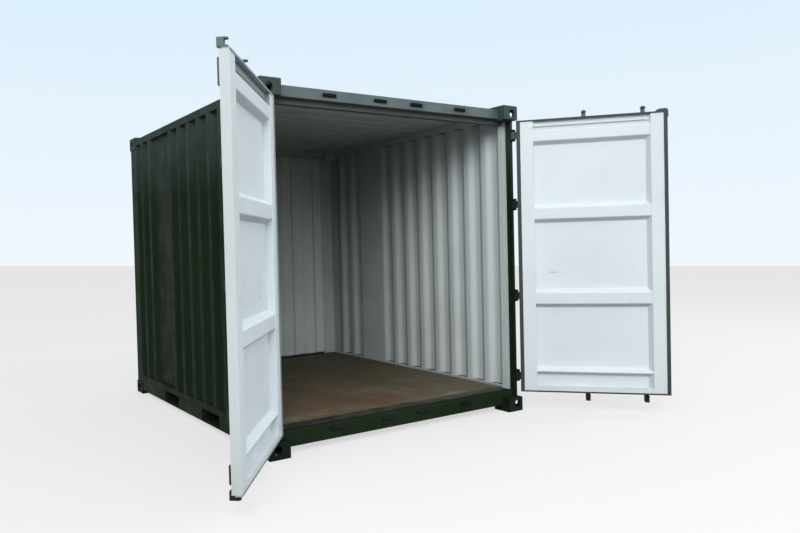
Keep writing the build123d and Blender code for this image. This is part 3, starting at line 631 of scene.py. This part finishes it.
def meet_top_rail(bm):
    for vert in bm.verts:
        past = abs(vert.co.y) - (TOP_RAIL_FACE - CORNER_ROUND)
        if past > 0 and vert.co.z > TOP_RAIL_UNDER - NEAR:
            vert.co.z = TOP_RAIL_UNDER + CORNER_ROUND - math.sqrt(CORNER_ROUND ** 2 - past ** 2)


print("top rails' underside at", round(TOP_RAIL_UNDER, 4))

# %% Walls and roof
# node, the way its white side looks, and the rounding of its bends
SHEETS = (("left_wall", (0, 1, 0), 0.015), ("right_wall", (0, -1, 0), 0.015),
          ("rear_wall", (1, 0, 0), 0.010), ("roof", (0, 0, -1), 0.004))
for node, aim, bend in SHEETS:
    bm = merged_copy(node)
    round_bends(bm, bend, segments=4)
    if node in ("left_wall", "right_wall"):
        meet_top_rail(bm)
    outside_paint = wall_green if node == "left_wall" else green
    inside_paint = rear_white if node == "rear_wall" else hold_white
    sheet = painted_copy(bm, node, node + "_sheet", (outside_paint, inside_paint), towards(*aim))
    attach(sheet, "container")
    print(node, len(sheet.data.polygons), "faces")

# %% [markdown]
# ### Door leaves
# A leaf is a pressed panel in a folded frame, and the same two paints meet on it. It is easier to
# think about flat: r runs along the leaf from its hinge pin, t through it towards the inside, and
# z is up. One matrix turns that flat leaf into its open place, and its inverse brings a face back
# to be judged there. The frame is cut along the grooves, so that each part can take its own paint.

# %% The flat leaf
LEFT_ANGLE, RIGHT_ANGLE = math.radians(128.6), math.radians(132.9)
LEAVES = (("left", LEFT_ANGLE), ("right", RIGHT_ANGLE))
PIVOT = Vector((HALF_L - 0.030, HALF_W - 0.028, 0.0))
LEAF_OUT, LEAF_IN = 0.030, 0.084
LEAF_R0, LEAF_R1, LEAF_Z0, LEAF_Z1 = 0.034, 1.179, 0.185, 2.447
RECESS_Z = LEAF_Z1 - 0.046
# the panel's ridges are grooves when seen from outside: low and high edge, and height of the slopes
RIDGES = ((LEAF_Z0 + 0.161, LEAF_Z0 + 0.173, 0.024), (LEAF_Z0 + 0.733, LEAF_Z0 + 0.824, 0.029),
          (LEAF_Z1 - 0.820, LEAF_Z1 - 0.729, 0.029), (LEAF_Z1 - 0.170, LEAF_Z1 - 0.085, 0.030))
GROOVE_T0, GROOVE_T1 = 0.031, 0.079
GROOVE_DEPTH = GROOVE_T1 - GROOVE_T0


def leaf_matrix(side, angle):
    turn = Matrix.Translation((PIVOT.x, -PIVOT.y, 0.0)) @ Matrix.Rotation(math.pi / 2 - angle, 4, "Z")
    return turn if side == "left" else Matrix.Scale(-1.0, 4, (0, 1, 0)) @ turn


def in_groove(at):
    share = (GROOVE_T1 - at.y) / GROOVE_DEPTH
    inside = any(low - slope * share < at.z < high + slope * share for low, high, slope in RIDGES)
    return at.y < GROOVE_T1 and inside


def cut_grooves(bm, side, angle):
    place = leaf_matrix(side, angle)
    planes = [((0.0, GROOVE_T1, 0.0), (0.0, 1.0, 0.0))]
    for low, high, slope in RIDGES:
        planes.append(((0.0, GROOVE_T1, low), (0.0, slope, -GROOVE_DEPTH)))
        planes.append(((0.0, GROOVE_T1, high), (0.0, slope, GROOVE_DEPTH)))
    for point, way in planes:
        cut(bm, place @ Vector(point), place.to_3x3() @ Vector(way))
    bm.normal_update()


# %% Paint on the leaves
GREEN_SLOT, WHITE_SLOT, RECESS_SLOT, END_SLOT = 0, 1, 2, 3
BETWEEN_STILES, RECESS_R = (0.15, 1.07), (0.157, 1.063)
SQUARE_TO_T = 0.01
LEAF_BEND = 0.006


def leaf_paint(side, angle):
    # the left leaf's top recess takes a grey that paints the shade in it, and its free end a darker white
    # that paints the shade on that face
    flat = leaf_matrix(side, angle).inverted()

    def pick(face):
        way = flat.to_3x3() @ face.normal
        at = flat @ face.calc_center_median()
        on_rim = at.x < LEAF_R0 + NEAR or at.z > LEAF_Z1 - NEAR or at.z < LEAF_Z0 + NEAR
        on_lock_end = at.x > LEAF_R1 - NEAR
        between = BETWEEN_STILES[0] < at.x < BETWEEN_STILES[1]
        beside_groove = abs(way.y) < SQUARE_TO_T and between and in_groove(at)
        looks_out = way.y < -LOOKS_THAT_WAY
        if looks_out or on_rim or beside_groove or (on_lock_end and side == "right"):
            return GREEN_SLOT
        if on_lock_end:
            return END_SLOT
        in_recess = side == "left" and at.z > RECESS_Z and RECESS_R[0] < at.x < RECESS_R[1]
        return RECESS_SLOT if in_recess else WHITE_SLOT
    return pick


for side, angle in LEAVES:
    for node in ("door_panel", "door_frame"):
        bm = merged_copy(side + "_" + node)
        round_bends(bm, LEAF_BEND, segments=3)
        if node == "door_frame":
            cut_grooves(bm, side, angle)
        leaf = painted_copy(bm, side + "_" + node, side + "_" + node + "_painted",
                            (green, white, overspray_and_shade, shaded_end_white), leaf_paint(side, angle))
        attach(leaf, side + "_door")
print("two leaves")

# %% [markdown]
# ## Frame members with a white inner side
# Posts, rails and the header are green outside. Where they look into the hold they were sprayed
# with the sheets, so they are white there. On the door posts the white runs round the inner corner
# as far as the seal face, where the green begins. Members are cut where the two paints meet, and
# then each face is sorted by its place and the way it looks.

# %% Which faces look into the hold
CAST_L, CAST_W, CAST_H, HEIGHT = 0.178, 0.162, 0.118, 2.591
HOLD_MIDDLE = Vector((0.0, 0.0, 1.3))
SEAL_FACE_X = HALF_L - 0.126
HOLD_SIDE, HOLD_LOW, ROOF_UNDER = HALF_W - 0.013, 0.171, 2.562
SHEET_GAP = 0.0005
RAIL_SIDE = min(abs(v.co.y) for v in nodes["left_wall"].data.vertices) - SHEET_GAP
RAIL_BACK = max(v.co.x for v in nodes["rear_wall"].data.vertices) + SHEET_GAP
NEARLY_SQUARE = 0.9


def faces_hold(face):
    centre = face.calc_center_median()
    if abs(centre.x - SEAL_FACE_X) < NEAR and face.normal.x > NEARLY_SQUARE:
        return 1
    inner = centre.x < SEAL_FACE_X and face.normal.dot(HOLD_MIDDLE - centre) > 0
    return 1 if inner and abs(centre.y) < HOLD_SIDE and HOLD_LOW < centre.z < ROOF_UNDER else 0


print("rails are white within", round(RAIL_SIDE, 4))

# %% Posts and rails
ACROSS, ALONG, UPWARDS, DOWNWARDS = (0, 1, 0), (1, 0, 0), (0, 0, 1), (0, 0, -1)
RAIL_CUTS = (((0, RAIL_SIDE, 0), ACROSS), ((0, -RAIL_SIDE, 0), ACROSS), ((RAIL_BACK, 0, 0), ALONG))
INNER_WHITE = ("left_door_post", "right_door_post", "left_rear_post", "right_rear_post",
               "left_top_rail", "right_top_rail", "rear_top_rail", "left_bottom_rail",
               "right_bottom_rail", "rear_bottom_rail")
for node in INNER_WHITE:
    bm = merged_copy(node)
    cut(bm, (0, 0, ROOF_UNDER), UPWARDS)
    outside = set()
    if "rail" in node:
        # a rail's flange runs under the sheet, so only the part on the hold's side of it is white
        for point, way in RAIL_CUTS:
            cut(bm, point, way)
        bm.normal_update()
        for face in bm.faces:
            centre = face.calc_center_median()
            beyond = centre.x < RAIL_BACK if "rear" in node else abs(centre.y) > RAIL_SIDE
            if abs(face.normal.z) > NEARLY_SQUARE and beyond:
                outside.add(face)
    member = painted_copy(bm, node, node + "_painted", (green, hold_white),
                          lambda face: 0 if face in outside else faces_hold(face))
    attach(member, "container")
print(len(INNER_WHITE), "members")

# %% [markdown]
# ### The land under the header
# The upper seal of the doors bears on this strip. Its white paint lies in shade, and a dark grey
# paints that shade, so from below it reads as part of the dark ceiling. Its back, which looks into
# the hold, stays white.

# %% Header land
LOOKS_BACK = -0.5
bm = merged_copy("header_land")
land = painted_copy(bm, "header_land", "header_land_painted", (land_painted_shade, hold_white),
                    lambda face: 1 if face.normal.x < LOOKS_BACK else 0)
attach(land, "container")
print("header land")

# %% [markdown]
# ## Corner castings
# A cast corner has no sharp edge. The chamfers of the CAD model are rounded here with a small
# bevel on each of their edges. The top castings also look into the hold, with their backs and
# undersides, and were sprayed white there.

# %% Rounded castings
TOP_CASTINGS_Z = 2.4
CAST_BACK_X, CAST_BACK_Y, CAST_UNDER_Z = HALF_L - CAST_L, HALF_W - CAST_W, HEIGHT - CAST_H
CAST_ROUND, ON_FACE = 0.0022, 0.0015
CAST_CUTS = (((0, HOLD_SIDE, 0), ACROSS), ((0, -HOLD_SIDE, 0), ACROSS), ((0, 0, ROOF_UNDER), UPWARDS))


def casting_faces_hold(face):
    centre = face.calc_center_median()
    beyond = centre.x > SEAL_FACE_X or abs(centre.y) > HOLD_SIDE
    if beyond or not TOP_CASTINGS_Z < centre.z < ROOF_UNDER:
        return 0
    on_end = abs(abs(centre.x) - CAST_BACK_X) < ON_FACE
    on_side = abs(abs(centre.y) - CAST_BACK_Y) < ON_FACE
    return 1 if on_end or on_side or abs(centre.z - CAST_UNDER_Z) < ON_FACE else 0


for node in ("bottom_castings", "top_castings"):
    bm = merged_copy(node)
    round_bends(bm, CAST_ROUND, segments=2)
    for point, way in CAST_CUTS:
        cut(bm, point, way)
    bm.normal_update()
    casting = painted_copy(bm, node, node + "_rounded", (cast_green, hold_white), casting_faces_hold)
    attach(casting, "container")
    print(node, len(casting.data.polygons), "faces")

# %% [markdown]
# ## Everything else keeps its CAD mesh
# Rods, handles, brackets, lugs, beams and boards already have their real shapes, so they only get
# their paint, picked by the node's name. The left door's seal was sprayed over with the door, and
# the grey it takes also paints the shade it lies in.

# %% Paint for the other nodes


def node_paint(name):
    if name == "left_door_gasket":
        return overspray_and_shade
    if "gasket" in name:
        return rubber
    if name == "floor_boards":
        return board
    if name == "threshold":
        return bare
    if name.endswith(("_rod", "_handle")) or "bracket" in name or "catch" in name or "blade" in name:
        return gear_steel
    if name in ("lock_keepers", "hinge_lugs"):
        return black_steel
    return sky_lit_header_green if name == "door_header" else green


for name, obj in nodes.items():
    obj.data.materials.clear()
    obj.data.materials.append(node_paint(name))
print("materials on", len(nodes), "nodes")

# %% [markdown]
# ## Small parts on the doors
# Every small part is made on the flat leaf and then turned into place with the leaf's matrix,
# which also mirrors it for the right leaf. A mirror turns faces inside out, so they are flipped
# back.

# %% Into the leaf's place
HINGE_Z = (0.300, 0.985, 1.760, 2.345)


def into_leaf(bm, side, angle):
    bmesh.ops.transform(bm, matrix=leaf_matrix(side, angle), verts=bm.verts)
    if side == "right":
        bmesh.ops.reverse_faces(bm, faces=bm.faces)


def block(bm, low, high, bevel=0.0):
    size = Vector(high) - Vector(low)
    middle = (Vector(high) + Vector(low)) / 2
    shape = Matrix.Translation(middle) @ Matrix.Diagonal((*size, 1.0))
    made = bmesh.ops.create_cube(bm, size=1.0, matrix=shape)
    if bevel:
        edges = list({e for v in made["verts"] for e in v.link_edges})
        bmesh.ops.bevel(bm, geom=edges, offset=bevel, affect="EDGES", segments=2, profile=0.5,
                        material=-1)


def stud(bm, foot, way, radius, height, sides=6, taper=0.86):
    turn = Vector(way).to_track_quat("Z", "Y").to_matrix().to_4x4()
    middle = Vector(foot) + Vector(way).normalized() * height / 2
    bmesh.ops.create_cone(bm, cap_ends=True, segments=sides, radius1=radius, radius2=radius * taper,
                          depth=height, matrix=Matrix.Translation(middle) @ turn)


# %% [markdown]
# ### Bolts on hinge blades and rod brackets
# Each hinge blade is held by three bolts and each bracket by four. A hexagonal cone with a slight
# taper reads as a bolt head and costs few faces.

# %% Bolts
BLADE_BOLTS = (0.062, 0.098, 0.132)
ROD_PLACES = (0.565, 1.018)
BRACKET_ROWS = ((0.190, 0.290), (0.530, 0.590), (1.220, 1.280), (1.870, 1.930), (2.302, 2.445))
FOOT_REACH, FOOT_FACE, BLADE_FACE = 0.038, 0.024, 0.020
BOLT_SPREAD = 0.28
OUTWARDS = (0, -1, 0)
for side, angle in LEAVES:
    bm = bmesh.new()
    for z in HINGE_Z:
        for r in BLADE_BOLTS:
            stud(bm, (r, BLADE_FACE, z), OUTWARDS, radius=0.011, height=0.007)
    for r in ROD_PLACES:
        for low, high in BRACKET_ROWS:
            reach = (high - low) * BOLT_SPREAD
            for dr in (-FOOT_REACH, FOOT_REACH):
                for dz in (-reach, reach):
                    foot = (r + dr, FOOT_FACE, (low + high) / 2 + dz)
                    stud(bm, foot, OUTWARDS, radius=0.007, height=0.0045)
    into_leaf(bm, side, angle)
    bolts = mesh_object(side + "_door_bolts", bm)
    bolts.data.materials.append(gear_steel)
    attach(bolts, side + "_door")
print("bolts on two doors")

# %% [markdown]
# ### Sloped strips beside the lock stile
# On the real doors the pressed panel runs up to the stile at the lock edge in a slope, which shows
# as a soft grey band. A block whose one long edge is moved across makes that slope. There is one
# strip between each two ridges, and its ends lean with the ridge, so nothing of it shows in the
# grooves on the outside.

# %% Sloped strips
STILE_LOCK, SLOPE_W, RAIL_LOW, RAIL_HIGH = 1.062, 0.030, 0.223, 2.402
STRIP_BACK, STRIP_EDGE, STRIP_FRONT = LEAF_OUT + 0.0025, LEAF_OUT + 0.004, LEAF_IN - 0.003
BEHIND = LEAF_OUT + 0.01
ends = [(RAIL_LOW, 0.0)]
for low, high, slope in RIDGES:
    ends += [(low - slope, slope), (high + slope, slope)]
ends.append((RAIL_HIGH, 0.0))


def slope_strip(z0, lean0, z1, lean1):
    strip = bmesh.new()
    block(strip, (STILE_LOCK - SLOPE_W, STRIP_BACK, z0), (STILE_LOCK, STRIP_FRONT, z1))
    middle = (z0 + z1) / 2
    for vert in strip.verts:
        if vert.co.y < BEHIND:
            continue
        if vert.co.x < STILE_LOCK - NEAR:
            vert.co.y = STRIP_EDGE
        else:
            vert.co.z += lean1 if vert.co.z > middle else -lean0
    return strip


for side, angle in LEAVES:
    bm = bmesh.new()
    for (z0, lean0), (z1, lean1) in zip(ends[0::2], ends[1::2]):
        strip = slope_strip(z0, lean0, z1, lean1)
        piece = bpy.data.meshes.new("strip")
        strip.to_mesh(piece)
        strip.free()
        bm.from_mesh(piece)
        bpy.data.meshes.remove(piece)
    into_leaf(bm, side, angle)
    strips = mesh_object(side + "_stile_slopes", bm)
    strips.data.materials.append(white)
    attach(strips, side + "_door")
print("sloped strips")

# %% [markdown]
# ## Small parts on the body
# Hinge pins end in a low round head over the upper lug and a small weld under the lower one. Both
# are short cones with many sides.

# %% Hinge pin heads
LUG_REACH = 0.045
bm = bmesh.new()
for sign in (-1, 1):
    y = sign * PIVOT.y
    for z in HINGE_Z:
        stud(bm, (PIVOT.x, y, z + LUG_REACH), UPWARDS, radius=0.0155, height=0.005, sides=20, taper=0.95)
        stud(bm, (PIVOT.x, y, z - LUG_REACH), DOWNWARDS, radius=0.0135, height=0.004, sides=16, taper=0.8)
heads = mesh_object("hinge_pin_heads", bm)
heads.data.materials.append(black_steel)
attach(heads, "container")
print("pin heads", len(heads.data.polygons), "faces")

# %% [markdown]
# ### Welds
# Posts are welded to the castings above and below with a thick bead. A bead is a long thin box
# with rounded edges, sunk a little into the post. The left side's beads mirror the right side's.

# %% Weld beads
BEAD, BEAD_ROUND, SUNK = 0.0045, 0.003, 0.003
POST_OUT, POST_IN, POST_FRONT, POST_BACK = HALF_W - 0.010, 1.183, HALF_L - 0.058, HALF_L - CAST_L
REAR_OUT, REAR_BACK, REAR_INSET = HALF_W - 0.008, 0.008 - HALF_L, 0.012
# each bead's reach along x, and across from the middle: two on a door post, two on a rear post
BEADS = (((POST_BACK, POST_FRONT), (POST_OUT - SUNK, POST_OUT + BEAD)),
         ((POST_FRONT - SUNK, POST_FRONT + BEAD), (POST_IN, POST_OUT)),
         ((REAR_INSET - HALF_L, CAST_L - HALF_L), (REAR_OUT - SUNK, REAR_OUT + BEAD)),
         ((REAR_BACK - BEAD, REAR_BACK + SUNK), (HALF_W - CAST_W, HALF_W - REAR_INSET)))
bm = bmesh.new()
for sign in (-1, 1):
    for z in (CAST_H, HEIGHT - CAST_H):
        for (x0, x1), across in BEADS:
            y0, y1 = sorted(sign * y for y in across)
            block(bm, (x0, y0, z - BEAD), (x1, y1, z + BEAD), BEAD_ROUND)
beads = mesh_object("post_welds", bm)
beads.data.materials.append(green)
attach(beads, "container")
print("weld beads", len(beads.data.polygons), "faces")

# %% [markdown]
# ### Floor edge and screws
# The slot between the boards and the rail flange is closed by a bead of sealant, a long block with
# rounded edges that was painted over with the wall. The boards are screwed down over each cross
# member, and the heads sit flush, so only a shallow disc shows.

# %% Sealant
FLOOR_TOP, FLANGE_UNDER, BOARD_EDGE = 0.172, 0.190, 1.172
SEALANT_BACK, SEALANT_FRONT = 0.18 - HALF_L, HALF_L - 0.190
SEALANT_ROUND, SEALANT_SUNK = 0.005, 0.001
SEALANT_Y = (BOARD_EDGE - 0.012, BOARD_EDGE + 0.004)
bm = bmesh.new()
for sign in (-1, 1):
    y0, y1 = sorted(sign * y for y in SEALANT_Y)
    low = (SEALANT_BACK, y0, FLOOR_TOP - SEALANT_SUNK)
    high = (SEALANT_FRONT, y1, FLANGE_UNDER + SEALANT_SUNK)
    block(bm, low, high, SEALANT_ROUND)
sealant = mesh_object("floor_edge_sealant", bm)
# the sealant's grey paints the shade at the foot of the wall
sealant.data.materials.append(overspray_and_shade)
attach(sealant, "container")
print("sealant", len(sealant.data.polygons), "faces")

# %% Screws
# each cross member lies at a share of the length from the door end
MEMBER_SHARES = (0.1, 0.174, 0.247, 0.435, 0.493, 0.55, 0.736, 0.816, 0.896)
MEMBER_HALF, SCREW_ROWS, SCREW_SPAN = 0.022, 11, 2.24
SCREW_STEP_X, SCREW_STEP_Y, SCREW_SUNK = 0.008, 0.012, 0.0004
bm = bmesh.new()
for share in MEMBER_SHARES:
    x = HALF_L - share * 2 * HALF_L - MEMBER_HALF
    for k in range(SCREW_ROWS):
        y = (k / (SCREW_ROWS - 1) - 0.5) * SCREW_SPAN
        for sign in (-1, 1):
            foot = (x + sign * SCREW_STEP_X, y + sign * SCREW_STEP_Y, FLOOR_TOP - SCREW_SUNK)
            stud(bm, foot, UPWARDS, radius=0.0065, height=0.0008, sides=10, taper=0.9)
screws = mesh_object("floor_screws", bm)
screws.data.materials.append(bare)
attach(screws, "container")
print("screws", len(screws.data.polygons), "faces")

# %% Finish
print("all pieces have their paint")
